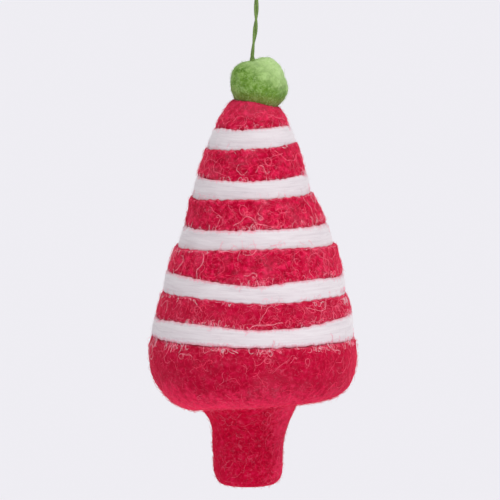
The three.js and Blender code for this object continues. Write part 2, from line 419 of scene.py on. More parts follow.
RED_WOOL = {
    "deep": colour(152, 0, 34),
    "plain": colour(185, 0, 48),
    "pale": colour(228, 32, 83),
    "hair": colour(240, 122, 150),
    "hair_share": 0.22,
    "sheen": 0.7,
    "sheen_tint": colour(255, 70, 105),
}
TRUNK_WOOL = {
    **RED_WOOL,
    "plain": colour(194, 0, 46),
    "hair_share": 0.28,
    "sheen_tint": colour(255, 46, 92),
}
RED_FELT = felt_material(
    "red_felt",
    **RED_WOOL,
    veil=0.14,
    fades=[
        Fade(colour(170, 2, 43), DOWN, start=124, end=132, share=0.55),
        # Lighter, pinker lower rim of the base: painted light from below, as caught in its fuzz
        Fade(colour(255, 48, 98), DOWN, start=169, end=179, share=0.7, uneven=22),
        # Paler pink patches at the top of the tip: pale wisps, partly painted light on the top
        Fade(colour(244, 104, 136), UP, start=-68, end=-58, share=0.13, uneven=8),
    ],
)
TRUNK_FELT = felt_material(
    "red_trunk_felt",
    **TRUNK_WOOL,
    fades=[
        Fade(colour(182, 0, 44), DOWN, start=142, end=152, share=0.45),
        # Paler right flank of the trunk: painted light from the right, partly pale fuzz
        Fade(colour(252, 66, 112), RIGHT, start=14.5, end=22, share=0.5, uneven=20),
    ],
)
GREEN_FELT = felt_material(
    "green_felt",
    deep=colour(80, 121, 29),
    plain=colour(108, 146, 53),
    pale=colour(150, 186, 102),
    hair=colour(198, 226, 160),
    hair_share=0.36,
    sheen=0.3,
    sheen_tint=colour(225, 245, 205),
    fades=[
        # Pale upper right of the ball: painted highlight, partly pale fuzz
        Fade(colour(198, 226, 160), (0.54, -0.1, 0.84), start=-43.2, end=-35.2, share=0.78, uneven=5),
        # Dark brownish lower rim of the ball: painted shadow where it sits in the tip, with some red wool
        Fade(colour(108, 76, 40), (-0.16, 0, -0.99), start=59.5, end=64, share=0.6, uneven=2),
    ],
)
UNDYED_WOOL = felt_material(
    "undyed_wool",
    deep=colour(196, 184, 162),
    plain=colour(222, 212, 192),
    pale=colour(238, 231, 216),
    hair=colour(246, 242, 232),
    hair_share=0.4,
    sheen=0.1,
    sheen_tint=colour(250, 246, 238),
)
WHITE_ROVING = roving_material()
GREEN_CORD = cord_material()
WHITE_FIBRE = fibre_material("white_fibre", colour(240, 228, 232))
PALE_FIBRE = fibre_material("pale_fibre", colour(255, 178, 196))
BLUSH_FIBRE = fibre_material("blush_fibre", colour(255, 114, 146))
ROSE_FIBRE = fibre_material("rose_fibre", colour(246, 66, 106))
RED_FIBRE = fibre_material("red_fibre", colour(208, 34, 74))
LEAF_FIBRE = fibre_material("leaf_fibre", colour(140, 184, 92))
LIME_FIBRE = fibre_material("lime_fibre", colour(184, 216, 142))


# Cord

CORD_DIAMETER = 0.84
CORD_SIDES = 16
CORD_STEP = 0.2
CORD_END_SHARE = 0.6
FIRST_SIDE = (0.3, 0.8, 0.1)
CURVE_STEPS = 24

# Plies of the cord: depth of their grooves, swelling between these in depths, and length of one turn
PLIES = 3
PLY_DEPTH = 0.09
PLY_SWELL = 2.4
PLY_LENGTH = 2.6

EYE_RADIUS = 3
EYE_CENTRE = -2.55
EYE_POINTS = 9
LEG_TOP = -3.3
LEG_BOTTOM = -23.85
LEG_SPACING = 1
LEG_POINTS = 7
LEG_CLEAR_OF_EYE = 2
PAIR_TOP = -20.5
PAIR_RADIUS = 0.4
PAIR_TURNS = 1.1
PAIR_POINTS = 60
PAIR_CLOSES_BELOW = 1.5
PAIR_SINK = 0.7
EXIT_HEIGHT = -48

# Route of the twisted pair: sideways place and height
NECK_ROUTE = [(0, -47.5), (0.35, -44), (0.9, -40), (1.25, -36), (1.35, -32), (1.4, -28), (1.4, -25)]


def smooth_line(points):
    """A smooth curve through points, as evenly spaced points."""
    points = np.asarray(points, float)
    ends = [2 * points[0] - points[1], *points, 2 * points[-1] - points[-2]]
    share = np.linspace(0, 1, CURVE_STEPS, endpoint=False)[:, None]
    line = []
    for a, b, c, d in zip(ends, ends[1:], ends[2:], ends[3:]):
        squared = 2 * a - 5 * b + 4 * c - d
        cubed = 3 * b - a - 3 * c + d
        line.append(0.5 * (2 * b + (c - a) * share + squared * share**2 + cubed * share**3))
    line = np.concatenate([*line, points[-1:]])
    along = np.concatenate([[0], np.cumsum(np.linalg.norm(np.diff(line, axis=0), axis=1))])
    places = np.linspace(0, along[-1], round(along[-1] / CORD_STEP) + 1)
    return np.stack([np.interp(places, along, line[:, k]) for k in range(3)], axis=1)


def cord_points(line):
    """Points of a spun cord's surface, a ring for each point of a line. Its plies wind round it."""
    ahead = unit(np.gradient(line, axis=0))
    side = np.empty_like(ahead)
    side[0] = np.cross(ahead[0], FIRST_SIDE)
    for k in range(1, len(line)):
        side[k] = side[k - 1] - ahead[k] * (side[k - 1] @ ahead[k])
    side = unit(side)
    across = np.cross(ahead, side)
    turn = np.linspace(0, FULL_TURN, CORD_SIDES, endpoint=False)
    along = CORD_STEP * np.arange(len(line))[:, None]
    ply = np.abs(np.cos(PLIES / 2 * (turn - FULL_TURN * along / PLY_LENGTH)))
    radius = CORD_DIAMETER / 2 * (1 - 2 * PLY_DEPTH + PLY_SWELL * PLY_DEPTH * ply)
    radius[[0, -1]] *= CORD_END_SHARE
    spokes = np.cos(turn)[:, None] * side[:, None] + np.sin(turn)[:, None] * across[:, None]
    return line[:, None] + radius[..., None] * spokes


def leg_place(side, height):
    """Middle of one side of the eye at a height."""
    share = (height - LEG_TOP) / (LEG_BOTTOM - LEG_TOP)
    spread = EYE_RADIUS + share * (LEG_SPACING / 2 - EYE_RADIUS)
    return share * NECK_ROUTE[-1][0], side * spread, height


def hanging_loop():
    """The eye of the cord, up one side, over the hook and down the other."""
    leg_end = LEG_TOP - LEG_CLEAR_OF_EYE
    up = [leg_place(-1, height) for height in np.linspace(PAIR_TOP, leg_end, LEG_POINTS)]
    down = [leg_place(1, height) for height in np.linspace(leg_end, PAIR_TOP, LEG_POINTS)]
    bend = [(0, -EYE_RADIUS * math.cos(a), EYE_CENTRE + EYE_RADIUS * math.sin(a))
            for a in np.linspace(0, math.pi, EYE_POINTS)]
    line = smooth_line([*up, *bend, *down])
    points = cord_points(line)
    loop = made("hanging_loop", points, grid_faces(*points.shape[:2]), GREEN_CORD)
    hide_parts("loop_bight", "loop_leg_front", "loop_leg_back")
    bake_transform(loop)
    return loop, line


def pair_line(side):
    """Middle of one strand of the pair, from the eye down into the ball, winding round the other."""
    heights = np.linspace(PAIR_TOP, EXIT_HEIGHT - PAIR_SINK, PAIR_POINTS)
    route = np.array([(0, EXIT_HEIGHT - PAIR_SINK), *NECK_ROUTE])
    top_x, top_y, _ = leg_place(1, PAIR_TOP)
    closing = smooth_step(heights, LEG_BOTTOM - PAIR_CLOSES_BELOW, PAIR_TOP)
    radius = PAIR_RADIUS + closing * (top_y - PAIR_RADIUS)
    wound = FULL_TURN * PAIR_TURNS * smooth_step(heights, LEG_BOTTOM, EXIT_HEIGHT)
    line = around(math.pi * (side > 0) + wound, radius, heights)
    line[:, 0] += np.interp(heights, [*route[:, 1], PAIR_TOP], [*route[:, 0], top_x])
    return smooth_line(line)


def cord_pair():
    """The two strands above the ball, wound loosely round each other."""
    points, faces = [], []
    for side in (-1, 1):
        strand = cord_points(pair_line(side))
        start = sum(len(p) for p in points)
        faces += [[start + i for i in face] for face in grid_faces(*strand.shape[:2])]
        points.append(strand.reshape(-1, 3))
    pair = made("cord_pair", np.concatenate(points), faces, GREEN_CORD)
    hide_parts("cord_neck")
    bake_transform(pair)
    return pair


def add_cord():
    loop, line = hanging_loop()
    pair = cord_pair()


# Tree

COLUMNS = 288
ANGLES = np.linspace(-math.pi, math.pi, COLUMNS, endpoint=False)
TREE_LUMPS = [(6, 0.3), (2.4, 0.2), (1.1, 0.1)]

# The base: its flat underside, its rounded side and its shoulder, and how its underside leans
UNDERSIDE_RADIUS = 18
UNDERSIDE_SHARES = (0.05, 0.97)
UNDERSIDE_ROWS = 10
BASE_ROUNDNESS_LEFT, BASE_ROUNDNESS_RIGHT = 1.9, 3.7
BASE_RISE_LEFT, BASE_RISE_RIGHT = 18.9, 23
BASE_ROWS = 62
SHOULDER_ROWS = 26
SHOULDER_TUCK = 0.3
SHOULDER_SHARPNESS = 20
BASE_LEAN_REACH = 17.3
BASE_SLANT = math.radians(1.85)
BASE_BOW = 2.9
BASE_LIFT_RIGHT = 2.2
BASE_RAISED = 0.15
BASE_LEVEL_RADIUS = 0.6 * UNDERSIDE_RADIUS

# The bands and the grooves between them
BAND_ROWS = 34
BAND_CROWN = 0.12
BAND_INSET = 0.2
EDGE_TUCK = 0.3
EDGE_SHARPNESS = 12
GROOVE_ROWS = 12
GROOVE_DEPTH = 2.0
GROOVE_SQUARENESS = 0.4

# Sideways drift of the hand-made tree: at some heights, how far its middle lies to the right
SWAY_HEIGHTS = (-168, -151, -141, -130, -122, -113, -106, -101, -96, -88, -78, -71, -63)
SWAY = (-0.6, 0.1, 0.15, 0.75, 0.9, 1.1, 1.2, 0.8, -0.3, -0.2, -0.3, -0.1, 1.15)

# From the base up, how much higher than plain each ring's lower and upper edge lie, at angles in degrees
EDGE_ANGLES = (-75, -50, -25, 0, 25, 50, 75)
EDGE_LIFTS = [
    ((0.6, 0.8, 0.8, 0.5, 0.4, 0.4, -0.3), (0.6, 1.3, 1.1, -0.2, 0.2, 1.4, 1.9)),
    ((0.2, 0.6, 0.4, -0.5, -0.4, 0.2, -0.6), (1.4, 1.5, 0.3, -0.8, 0.6, 0.9, 0.2)),
    ((-1.3, -0.9, -0.3, 0.4, 0.6, 0.2, -0.5), (0.3, 0.1, 0.4, 1.1, 1.2, 1.3, 1.2)),
    ((-1.3, -0.8, -0.3, -0.1, 0.2, 0.4, 0.7), (0.2, -0.3, -0.2, -0.4, 0.3, 1.0, 0.8)),
    ((-1.1, -1.0, -0.9, -0.4, 0.0, 0.6, 1.0), (-0.2, 0.1, -0.2, 0.2, 0.5, 0.9, 0.9)),
]
EDGE_SOFTNESS = 9

# Share of a ring's height, at its edges, in which their radius is looked up in the solid
EDGE_ZONE = 1 / 8

# Random waves and ripples of the edges. The waves are larger behind and smaller in front
WAVE_HEIGHT = 0.35
WAVE_COUNTS = (2, 7)
WAVES_AT_SIDES, WAVES_MORE_BEHIND = 0.6, 0.4
RIPPLE_HEIGHT = 0.15
RIPPLE_COUNTS = (16, 64)
RIPPLE_SEEDS = 100
RIPPLE_FADING = 6

# How much wider than plain each ring's lower and upper edge is, and how far the band below stands out
RING_TRIMS = [(0, 0), (0, 0), (-0.9, -0.5), (-0.9, -0.2), (-0.5, 0.5)]
RING_STEPS = [0.35, 0.3, 1.1, 1.1, 0.65]

# How far the white wool strays over the felt below and above each ring
RING_FRINGES = [(2.4, 1.6), (1.0, 1.6), (0.9, 1.5), (0.7, 1.1), (0.6, 0.9)]

# The tip's rim: slant, left side up, rise at the front and back, and how much lower and wider it is
TIP_CROWN = 0.6
TIP_SLANT = math.radians(7.0)
TIP_BOW = 0.9
TIP_DROP = 0.3
TIP_TRIM = -1.15
TIP_RIM_DEPTH = 1

# The ball's seat in the tip, from its rim inwards
SEAT_SHARES = (0.96, 0.02)
SEAT_ROWS = 12
SEAT_GAP = 0.1
SEAT_LEAST_DEPTH = 2


def box_mm(name):
    low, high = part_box(name)
    return np.array(low) / MM, np.array(high) / MM


def ball_sphere():
    """Centre and radius of the solid ball."""
    low, high = box_mm("felt_ball")
    return (low + high) / 2, (high[0] - low[0]) / 2


def widest(name, low, high):
    """Largest radius of a part about the Z axis between two heights."""
    corners = np.array([v.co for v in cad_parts[name].data.vertices]) / MM
    chosen = corners[(corners[:, 2] >= low) & (corners[:, 2] <= high)]
    return float(np.hypot(chosen[:, 0], chosen[:, 1]).max())


def edge(number, top):
    """Radius and wavy height of a ring's lower or upper edge at each angle."""
    name = f"stripe_{number + 1}"
    low, high = (corner[2] for corner in box_mm(name))
    near = EDGE_ZONE * (high - low)
    height = high if top else low
    radius = widest(name, height - near, height + near) + RING_TRIMS[number][top]
    lift = softened(np.interp(np.degrees(ANGLES), EDGE_ANGLES, EDGE_LIFTS[number][top], period=360))
    seed = 10 * number + top
    larger_behind = WAVES_AT_SIDES - WAVES_MORE_BEHIND * np.cos(ANGLES)
    waves = larger_behind * wave(ANGLES, seed, WAVE_HEIGHT, WAVE_COUNTS)
    ripples = wave(ANGLES, seed + RIPPLE_SEEDS, RIPPLE_HEIGHT, RIPPLE_COUNTS)
    return np.full(COLUMNS, radius), height + lift + waves + ripples


def softened(values):
    """Values at each angle, averaged with those beside them."""
    window = np.hanning(2 * EDGE_SOFTNESS + 3)[1:-1]
    wrapped = np.concatenate([values[-EDGE_SOFTNESS:], values, values[:EDGE_SOFTNESS]])
    return np.convolve(wrapped, window / window.sum(), mode="valid")


def tier(rows, lower, upper, crown):
    """A band between two edges, which swells and tucks in at both.

    Its edges' ripples die out away from them.
    """
    share = per_row(0, 1, rows)
    middle = 2 * share - 1
    straight = lower[0] + share * (upper[0] - lower[0])
    radius = straight + crown * (1 - middle**2) - EDGE_TUCK * np.abs(middle) ** EDGE_SHARPNESS
    calm_low, calm_high = softened(lower[1]), softened(upper[1])
    low_ripples = (lower[1] - calm_low) * (1 - share) ** RIPPLE_FADING
    ripples = low_ripples + (upper[1] - calm_high) * share**RIPPLE_FADING
    return radius, calm_low + share * (calm_high - calm_low) + ripples


def groove(bottom, top, share, depth):
    """Rows of a groove at shares of the way from a ring's lower edge to its upper one."""
    hollow = depth * np.sin(math.pi * share) ** GROOVE_SQUARENESS
    radius = bottom[0] + share * (top[0] - bottom[0]) - EDGE_TUCK - hollow
    return radius, bottom[1] + share * (top[1] - bottom[1])


def shifted(edge_line, outwards):
    return edge_line[0] + outwards, edge_line[1]


def swayed(radius, height):
    """Points of the hand-made tree for a radius and height at each angle."""
    points = around(ANGLES, radius, height)
    points[..., 0] += np.interp(points[..., 2], SWAY_HEIGHTS, SWAY)
    return points


def base_side(underside, girth):
    """The base's rounded side from its underside up to its girth, and the girth's height."""
    across = (1 + np.sin(ANGLES)) / 2
    girth_height = underside + BASE_RISE_LEFT + (BASE_RISE_RIGHT - BASE_RISE_LEFT) * across
    roundness = BASE_ROUNDNESS_LEFT + (BASE_ROUNDNESS_RIGHT - BASE_ROUNDNESS_LEFT) * across
    turn = math.pi / 2 * (1 - per_row(0, 1, BASE_ROWS))
    reach = np.cos(turn) ** (2 / roundness)
    drop = np.sin(turn) ** (2 / roundness)
    radius = UNDERSIDE_RADIUS + reach * (girth - UNDERSIDE_RADIUS)
    return (radius, girth_height - drop * (girth_height - underside)), girth_height


def base_shoulder(girth, girth_height, top):
    """The base's upper side, from its girth in to an edge."""
    top_radius, top_height = top
    share = per_row(0, 1, SHOULDER_ROWS)[1:]
    tuck = SHOULDER_TUCK * share**SHOULDER_SHARPNESS
    radius = girth + share**2 * (top_radius - girth) - tuck
    return radius, girth_height + share * (top_height - girth_height)


def base_tiers(rings, underside, girth):
    """The base's underside, side and shoulder, and which of them show."""
    shares = per_row(*UNDERSIDE_SHARES, UNDERSIDE_ROWS)
    flat = shares * UNDERSIDE_RADIUS + 0 * ANGLES, np.full((UNDERSIDE_ROWS, COLUMNS), underside)
    side, girth_height = base_side(underside, girth)
    shoulder = base_shoulder(girth, girth_height, shifted(rings[0][0], RING_STEPS[0]))
    return [(flat, False), (side, True), (shoulder, True)]


def band_tiers(rings, rim):
    """Each ring's groove and the band above it, and which of them show."""
    share = per_row(0, 1, GROOVE_ROWS)[1:-1]
    above = [shifted(bottom, step) for (bottom, _), step in zip(rings[1:], RING_STEPS[1:])] + [rim]
    crowns = [BAND_CROWN] * (len(rings) - 1) + [TIP_CROWN]
    tiers = []
    for (bottom, top), upper, crown in zip(rings, above, crowns):
        tiers.append((groove(bottom, top, share, GROOVE_DEPTH), False))
        tiers.append((tier(BAND_ROWS, shifted(top, -BAND_INSET), upper, crown), True))
    return tiers


def tip_rim(top):
    """Radius and height of the tip's slanted rim at each angle."""
    radius = widest("body_cover", top - TIP_RIM_DEPTH, top) + TIP_TRIM
    slant = radius * math.tan(TIP_SLANT) * np.sin(ANGLES)
    return np.full(COLUMNS, radius), top - TIP_DROP - slant + TIP_BOW * np.cos(ANGLES) ** 2


def seat_tier(rim):
    """The hollow in the tip that the ball sits in, from its rim inwards."""
    centre, ball_radius = ball_sphere()
    radius = per_row(*SEAT_SHARES, SEAT_ROWS) * rim[0]
    points = swayed(radius, rim[1] + 0 * radius)
    away = np.hypot(points[..., 0] - centre[0], points[..., 1] - centre[1])
    reach = ball_radius + SEAT_GAP
    return radius, centre[2] - np.sqrt(np.maximum(reach**2 - away**2, SEAT_LEAST_DEPTH**2))


def tree_rows(rings):
    """Rows of the tree's skin, and which show.

    They go from the middle of its underside to the middle of the ball's seat.
    """
    low, high = box_mm("body_cover")
    underside, top = low[2], high[2]
    rim = tip_rim(top)
    tiers = base_tiers(rings, underside, girth=(high[0] - low[0]) / 2)
    tiers += band_tiers(rings, rim)
    tiers.append((seat_tier(rim), False))
    radius = np.concatenate([radii for (radii, _), _ in tiers])
    height = np.concatenate([heights for (_, heights), _ in tiers])
    shows = np.concatenate([np.full(len(radii), seen) for (radii, _), seen in tiers])
    points = swayed(radius, height)
    low_share = 1 - smooth_step(points[..., 2], underside, underside + BASE_LEAN_REACH)
    points[..., 2] += low_share * base_lean(points)
    return points, shows


def base_lean(points):
    """How much higher the base's underside is than plain: it slants, and bows up at the front and back."""
    away = np.maximum(np.hypot(points[..., 0], points[..., 1]), BASE_LEVEL_RADIUS)
    bow = BASE_BOW * (points[..., 1] / away) ** 2
    lift = BASE_LIFT_RIGHT * np.maximum(points[..., 0] / away, 0)
    return math.tan(BASE_SLANT) * points[..., 0] + bow + lift + BASE_RAISED


# How the wool presses out the tree's skin: a cloth simulation of some rows and columns, in a larger size
PUFF_EVERY = 3
PUFF_SCALE = 10
PUFF_PRESSURE = 12
PUFF_QUALITY = 6
PUFF_FRAMES = 20
PUFF_CAP = 0.5


def pressed_out(points, hidden):
    """Points of a skin after the wool under it has pressed it out, with the hidden ones held."""
    skin = made("puff", points * PUFF_SCALE, grid_faces(*points.shape[:2]), RED_FELT)
    held = skin.vertex_groups.new(name="held")
    held.add(hidden.tolist(), 1.0, "REPLACE")
    cloth = skin.modifiers.new("cloth", "CLOTH")
    cloth.settings.quality = PUFF_QUALITY
    cloth.settings.use_pressure = True
    cloth.settings.uniform_pressure_force = PUFF_PRESSURE
    cloth.settings.vertex_group_mass = held.name
    cloth.settings.effector_weights.gravity = 0
    cloth.collision_settings.use_collision = False
    for step in range(1, PUFF_FRAMES + 1):
        bpy.context.scene.frame_set(step)
    swollen = skin.evaluated_get(bpy.context.evaluated_depsgraph_get())
    places = np.array([v.co for v in swollen.data.vertices]).reshape(points.shape) / MM / PUFF_SCALE
    bpy.data.objects.remove(skin)
    bpy.context.scene.frame_set(1)
    return places


def filled(values, at, size):
    """Values that are known at some places of the first axis, at every place of it."""
    lines = values.reshape(len(at), -1).T
    every = np.stack([np.interp(np.arange(size), at, line) for line in lines], axis=1)
    return every.reshape(size, *values.shape[1:])


def puffed(points, shows):
    """How far each point of a skin moves when the wool under it presses out and its hidden rows stay."""
    rows, columns = np.arange(0, len(points), PUFF_EVERY), np.arange(0, COLUMNS, PUFF_EVERY)
    coarse = points[rows][:, columns]
    hidden = np.flatnonzero(np.repeat(~shows[rows], len(columns)))
    move = pressed_out(coarse, hidden) - coarse
    far = np.linalg.norm(move, axis=-1, keepdims=True)
    move *= np.minimum(1, PUFF_CAP / np.maximum(far, TINY))
    by_row = filled(move, rows, len(points))
    closed = np.concatenate([by_row, by_row[:, :1]], axis=1)
    return filled(closed.swapaxes(0, 1), [*columns, COLUMNS], COLUMNS).swapaxes(0, 1)


def mark_near_rings(piece, points, rings, share):
    """Tells a piece's material how near each point is to a ring's edge, for a share of the fringe."""
    near = np.zeros(points.shape[:-1])
    for ring, fringe in zip(rings, RING_FRINGES):
        for (_, heights), reach in zip(ring, fringe):
            near = np.maximum(near, np.exp(-np.abs(points[..., 2] - heights) / reach / share))
    marks = piece.data.attributes.new("near_ring", "FLOAT", "POINT")
    marks.data.foreach_set("value", near.ravel())


def add_tree(rings):
    points, shows = tree_rows(rings)
    points = points + puffed(points, shows)
    points = felted(points, TREE_LUMPS, seed=3)
    tree = made("tree_felt", points, grid_faces(*points.shape[:2]), RED_FELT)
    mark_near_rings(tree, points, rings, share=1.0)
    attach(tree, "ornament")
    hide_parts("body_cover")
    return tree, seen_faces(shows, COLUMNS)


# Rings of roving

RING_ROWS = 26
RING_INSIDE_ROWS = 10
RING_CROWN = 0.3
RING_CLEARANCE = 0.3

# Lumps and streaks of the rings' outside: size, amount and first seed
RING_LUMP_SIZE, RING_LUMP, RING_LUMP_SEED = 7, 0.16, 40
RING_STREAK_SIZE, RING_STREAK, RING_STREAK_SEED = 0.9, 0.06, 50


def ring_points(number, bottom, top):
    """Points of a ring: its uneven outside going up and its inside, in the groove, going down."""
    outside = tier(RING_ROWS, bottom, top, RING_CROWN)
    share = per_row(1, 0, RING_INSIDE_ROWS)[1:-1]
    inside = groove(bottom, top, share, GROOVE_DEPTH - RING_CLEARANCE)
    radius, height = (np.concatenate(rows) for rows in zip(outside, inside))
    points = swayed(radius, height)
    lumpy = RING_LUMP * lumps(points, RING_LUMP_SIZE, RING_LUMP_SEED + number)
    streaked = points * STREAK_STRETCH
    streaky = RING_STREAK * lumps(streaked, RING_STREAK_SIZE, RING_STREAK_SEED + number)
    move = (lumpy + streaky)[..., None] * grid_normals(points, closed=True)
    points[:RING_ROWS] += move[:RING_ROWS]
    return points


def add_rings(rings):
    """A ring of combed wool in each groove, as wavy as the groove's edges."""
    pieces = []
    for number, (bottom, top) in enumerate(rings):
        points = ring_points(number, bottom, top)
        faces = grid_faces(*points.shape[:2], closed=True)
        ring = made(f"roving_ring_{number + 1}", points, faces, WHITE_ROVING)
        mark_near_rings(ring, points, rings, share=0.6)
        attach(ring, "ornament")
        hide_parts(f"stripe_{number + 1}")
        pieces.append(ring)
    return pieces


# Ball

BALL_ROWS, BALL_COLUMNS = 90, 140
BALL_TRIM = -0.6
BALL_POLE = 0.03
BALL_LUMPS = [(5, 0.3), (2.2, 0.22), (1, 0.13)]

# Where the ball is fuller or flatter than a sphere: direction, amount and width
BALL_FORM = [
    ((-0.85, -0.2, 0.55), 1.05, 0.5),
    ((0.4, -0.2, 0.9), 0.8, 0.4),
    ((0.9, -0.2, -0.25), 0.25, 0.5),
    ((-0.22, -0.1, 1.0), -0.95, 0.4),
    ((0.9, -0.1, 0.35), -0.6, 0.4),
    ((0.1, 1.0, 0.2), 0.5, 0.6),
    ((-0.6, 0.8, 0.5), -0.4, 0.4),
]


def add_ball():
    centre, radius = ball_sphere()
    climb = per_row(BALL_POLE - math.pi / 2, math.pi / 2 - BALL_POLE, BALL_ROWS)
    turn = np.linspace(-math.pi, math.pi, BALL_COLUMNS, endpoint=False)
    way = around(turn, np.cos(climb), np.sin(climb) + 0 * turn)
    reach = np.full(way.shape[:2], radius + BALL_TRIM)
    for direction, amount, width in BALL_FORM:
        toward = np.array(direction) / np.linalg.norm(direction)
        reach += amount * np.exp((way @ toward - 1) / width**2 * 2)
    points = felted(centre + reach[..., None] * way, BALL_LUMPS, seed=21)
    ball = made("ball_felt", points, grid_faces(*points.shape[:2]), GREEN_FELT)
    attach(ball, "ornament")
    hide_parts("felt_ball")
    return ball


# Trunk

TRUNK_COLUMNS = 160
TRUNK_RADIUS = 12.0
TRUNK_TAPER = 0.3
TRUNK_SHIFT = -0.15
TRUNK_SINK = 1.0
TRUNK_ROWS = 30
TRUNK_LUMPS = [(6, 0.28), (2.4, 0.16), (1.1, 0.1)]

# The flat of the foot, which stays free of lumps, and its rounded edge
FOOT_FLAT = 8.4
FOOT_SHARES = (0.03, 1)
FOOT_ROWS = 12
FOOT_ROUND = 8.5
FOOT_ROUND_ROWS = 24
FOOT_CALM = 1.5

# The flare under the base, which leans with the base from a little below, and the hidden cap on it
FLARE_LEFT, FLARE_RIGHT = 5.0, 6.4
FLARE_BEND_LEFT, FLARE_BEND_RIGHT = 3.6, 1.6
FLARE_LENGTH = 15
FLARE_ROWS = 26
LEAN_BELOW_FLARE = 4
CAP_SHARES = (0.9, 0.05)
CAP_ROWS = 6


def trunk_outline(turn, bottom, top):
    """Radius and height of the trunk's rows, from the middle of its foot to the middle of its cap."""
    foot = per_row(*FOOT_SHARES, FOOT_ROWS)[:-1]
    toe = per_row(0, 1, FOOT_ROUND_ROWS)
    side = per_row(0, 1, TRUNK_ROWS)[1:-1]
    flare = per_row(0, 1, FLARE_ROWS)
    cap = per_row(*CAP_SHARES, CAP_ROWS)
    across = (1 + np.sin(turn)) / 2
    flare_out = FLARE_LEFT + (FLARE_RIGHT - FLARE_LEFT) * across
    flare_bend = FLARE_BEND_LEFT + (FLARE_BEND_RIGHT - FLARE_BEND_LEFT) * across
    flare_bottom = top - FLARE_LENGTH
    side_height = flare_bottom - bottom - FOOT_ROUND
    toe_radius = (1 - toe) ** 2 * FOOT_FLAT + 2 * toe * (1 - toe) * TRUNK_RADIUS + toe**2 * TRUNK_RADIUS
    rows = [
        (foot * FOOT_FLAT, bottom),
        (toe_radius, bottom + toe**2 * FOOT_ROUND),
        (TRUNK_RADIUS + TRUNK_TAPER * side, bottom + FOOT_ROUND + side * side_height),
        (TRUNK_RADIUS + TRUNK_TAPER + flare**flare_bend * flare_out, flare_bottom + flare * FLARE_LENGTH),
        (cap * (TRUNK_RADIUS + flare_out), top),
    ]
    radius, height = zip(*(np.broadcast_arrays(*row, turn)[:2] for row in rows))
    return np.concatenate(radius), np.concatenate(height)


def add_trunk():
    low, high = box_mm("trunk_cover")
    bottom, top = low[2], high[2] + TRUNK_SINK
    turn = np.linspace(-math.pi, math.pi, TRUNK_COLUMNS, endpoint=False)
    radius, height = trunk_outline(turn, bottom, top)
    points = around(turn, radius, height)
    points[..., 0] += (low[0] + high[0]) / 2 + TRUNK_SHIFT
    lean_share = smooth_step(height, top - FLARE_LENGTH - LEAN_BELOW_FLARE, top)
    points[..., 2] += lean_share * base_lean(points)
    off_foot = smooth_step(height, bottom, bottom + FOOT_CALM)[..., None]
    points = points + off_foot * (felted(points, TRUNK_LUMPS, seed=61) - points)
    trunk = made("trunk_felt", points, grid_faces(*points.shape[:2]), TRUNK_FELT)
    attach(trunk, "ornament")
    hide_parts("trunk_cover")
    shows = np.arange(len(points)) < len(points) - CAP_ROWS - 1
    return trunk, seen_faces(shows, TRUNK_COLUMNS)


# Loose fibres

STRAND_SIDES = 3


def strand_points(paths, radius, aims):
    """Points of strands along paths: each path's two ends, and a ring round each point between them."""
    ahead = np.gradient(paths, axis=1)
    side = unit(np.cross(ahead, aims))
    across = unit(np.cross(ahead, side))
    turn = np.linspace(0, FULL_TURN, STRAND_SIDES, endpoint=False)[:, None]
    spokes = np.cos(turn) * side[:, 1:-1, None] + np.sin(turn) * across[:, 1:-1, None]
    rings = paths[:, 1:-1, None] + np.asarray(radius, float).reshape(-1, 1, 1, 1) * spokes
    return np.concatenate([paths[:, :1], rings.reshape(len(paths), -1, 3), paths[:, -1:]], axis=1)


def strand_faces(rows):
    """Triangles of one closed strand of that many rings."""
    at = 1 + np.arange(rows * STRAND_SIDES).reshape(-1, STRAND_SIDES)
    beside = np.roll(at, -1, axis=1)
    start = np.stack([np.zeros(STRAND_SIDES, int), beside[0], at[0]], axis=1)
    end = np.stack([at[-1], beside[-1], np.full(STRAND_SIDES, at[-1, -1] + 1)], axis=1)
    walls = wall_quads(at)
    return np.concatenate([start, walls[:, :3], walls[:, [0, 2, 3]], end])


def strands(name, paths, radius, materials, seed, chosen=None):
    """Many thin fibres in one piece, along paths of equally many points each.

    Real fibres are finer than these, so they cast no shadow.
    """
    count, length = paths.shape[:2]
    rng = np.random.default_rng(seed)
    points = strand_points(paths, radius, rng.normal(0, 1, (count, 1, 3)))
    triangles = strand_faces(length - 2)
    starts = points.shape[1] * np.arange(count)[:, None, None]
    piece = made(name, points, (triangles + starts).reshape(-1, 3).tolist(), materials[0])
    for material in materials[1:]:
        piece.data.materials.append(material)
    if chosen is None:
        chosen = rng.integers(0, len(materials), count)
    of_faces = np.repeat(chosen, len(triangles)).astype(np.int32)
    piece.data.polygons.foreach_set("material_index", of_faces)
    piece.visible_shadow = False
    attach(piece, "ornament")
    return piece


def scattered(piece, count, seed, allowed=None):
    """Points spread evenly over a piece's faces, with the faces' directions, in millimetres."""
    faces = piece.data.polygons
    area, middle, out = np.zeros(len(faces)), np.zeros(3 * len(faces)), np.zeros(3 * len(faces))
    faces.foreach_get("area", area)
    faces.foreach_get("center", middle)
    faces.foreach_get("normal", out)
    if allowed is not None:
        area = area * allowed
    rng = np.random.default_rng(seed)
    chosen = rng.choice(len(faces), count, p=area / area.sum())
    spread = rng.uniform(-0.5, 0.5, (count, 3)) * np.sqrt(area[chosen])[:, None] / MM
    return middle.reshape(-1, 3)[chosen] / MM + spread, out.reshape(-1, 3)[chosen]


# Shape of a short fibre in shares of its length, and how deep it is rooted
FUZZ_POINTS = 6
FUZZ_LEAN = 1.4
FUZZ_BEND = 0.8
FUZZ_RISES = (0.15, 1.0)
FUZZ_DROOP = 0.45
FUZZ_LENGTHS = (0.4, 1.3)
FUZZ_THICKNESSES = (0.7, 1.2)
FUZZ_SINK = 0.1


